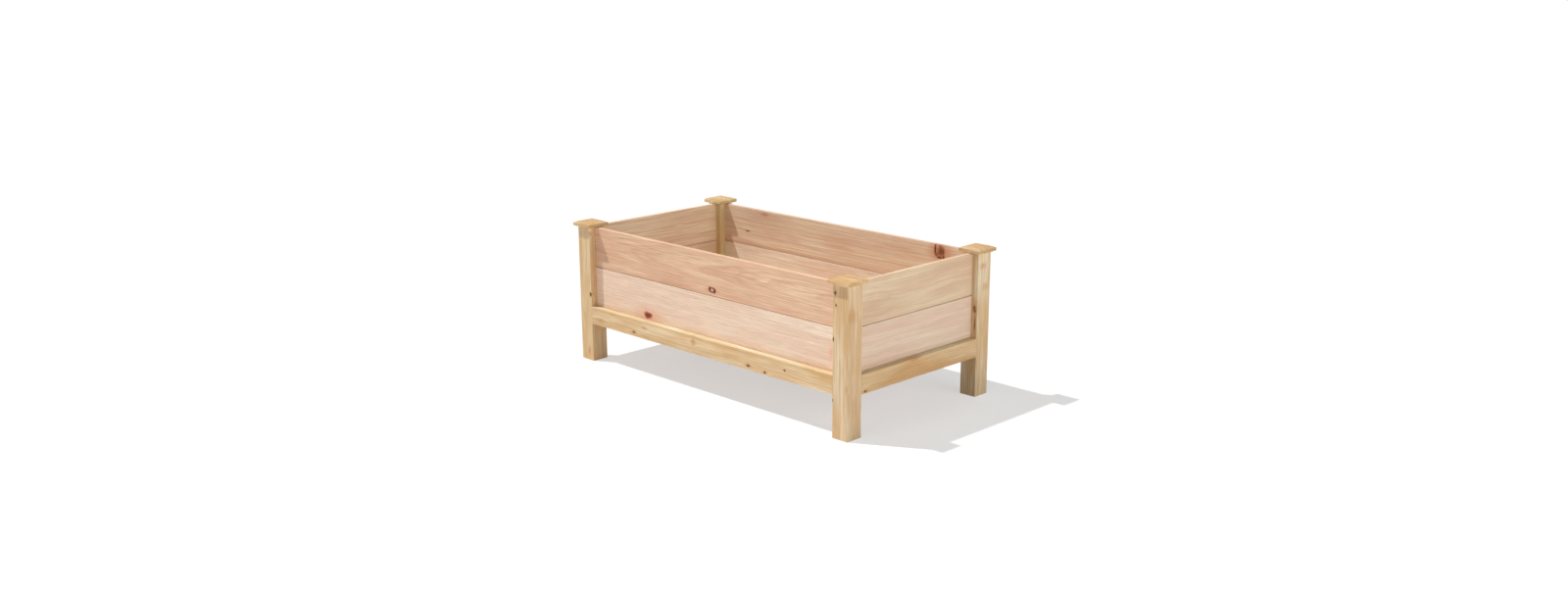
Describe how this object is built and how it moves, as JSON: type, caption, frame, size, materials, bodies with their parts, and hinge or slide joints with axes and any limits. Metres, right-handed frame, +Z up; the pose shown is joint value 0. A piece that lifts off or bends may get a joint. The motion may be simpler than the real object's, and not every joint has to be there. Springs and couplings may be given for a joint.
{
  "type": "raised garden bed",
  "caption": "Rectangular slatted-bottom timber planting bed on short square legs, with dovetailed boards and rails, chamfered post caps and an open top.",
  "frame": {"origin": "on the ground, at the middle of the rectangle that the caps cover", "axes": "+X along the long side towards the right end, +Y towards the rear long side, +Z up"},
  "size_m": [1.3254, 0.7154, 0.5052],
  "materials": {
    "frame_wood": "planed cedar, unfinished, pale tan with small knots",
    "board_wood": "planed cedar, unfinished, pinkish with long fine grain",
    "cap_wood": "planed cedar, unfinished, warm tan",
    "floor_wood": "planed cedar, unfinished",
    "dowel_wood": "smooth turned beech",
    "screw_metal": "dull zinc plate"
  },
  "bodies": {
    "root": {"post_front_left": "frame_wood", "post_front_right": "frame_wood", "post_rear_right": "frame_wood", "post_rear_left": "frame_wood", "cap_front_left": "cap_wood", "cap_front_right": "cap_wood", "cap_rear_right": "cap_wood", "cap_rear_left": "cap_wood", "cap_dowel_front_left": "dowel_wood", "cap_dowel_front_right": "dowel_wood", "cap_dowel_rear_right": "dowel_wood", "cap_dowel_rear_left": "dowel_wood", "rail_front": "frame_wood", "board_front_lower": "board_wood", "board_front_upper": "board_wood", "rail_right": "frame_wood", "board_right_lower": "board_wood", "board_right_upper": "board_wood", "rail_rear": "frame_wood", "board_rear_lower": "board_wood", "board_rear_upper": "board_wood", "rail_left": "frame_wood", "board_left_lower": "board_wood", "board_left_upper": "board_wood", "cleat_front": "floor_wood", "cleat_screw_front_1": "screw_metal", "cleat_screw_front_2": "screw_metal", "cleat_screw_front_3": "screw_metal", "cleat_screw_front_4": "screw_metal", "slat_screw_front_1": "screw_metal", "slat_screw_front_2": "screw_metal", "slat_screw_front_3": "screw_metal", "slat_screw_front_4": "screw_metal", "slat_screw_front_5": "screw_metal", "slat_screw_front_6": "screw_metal", "slat_screw_front_7": "screw_metal", "slat_screw_front_8": "screw_metal", "cleat_rear": "floor_wood", "cleat_screw_rear_1": "screw_metal", "cleat_screw_rear_2": "screw_metal", "cleat_screw_rear_3": "screw_metal", "cleat_screw_rear_4": "screw_metal", "slat_screw_rear_1": "screw_metal", "slat_screw_rear_2": "screw_metal", "slat_screw_rear_3": "screw_metal", "slat_screw_rear_4": "screw_metal", "slat_screw_rear_5": "screw_metal", "slat_screw_rear_6": "screw_metal", "slat_screw_rear_7": "screw_metal", "slat_screw_rear_8": "screw_metal", "slat_1": "floor_wood", "slat_2": "floor_wood", "slat_3": "floor_wood", "slat_4": "floor_wood", "slat_5": "floor_wood", "slat_6": "floor_wood", "slat_7": "floor_wood", "slat_8": "floor_wood"}
  },
  "joints": []
}
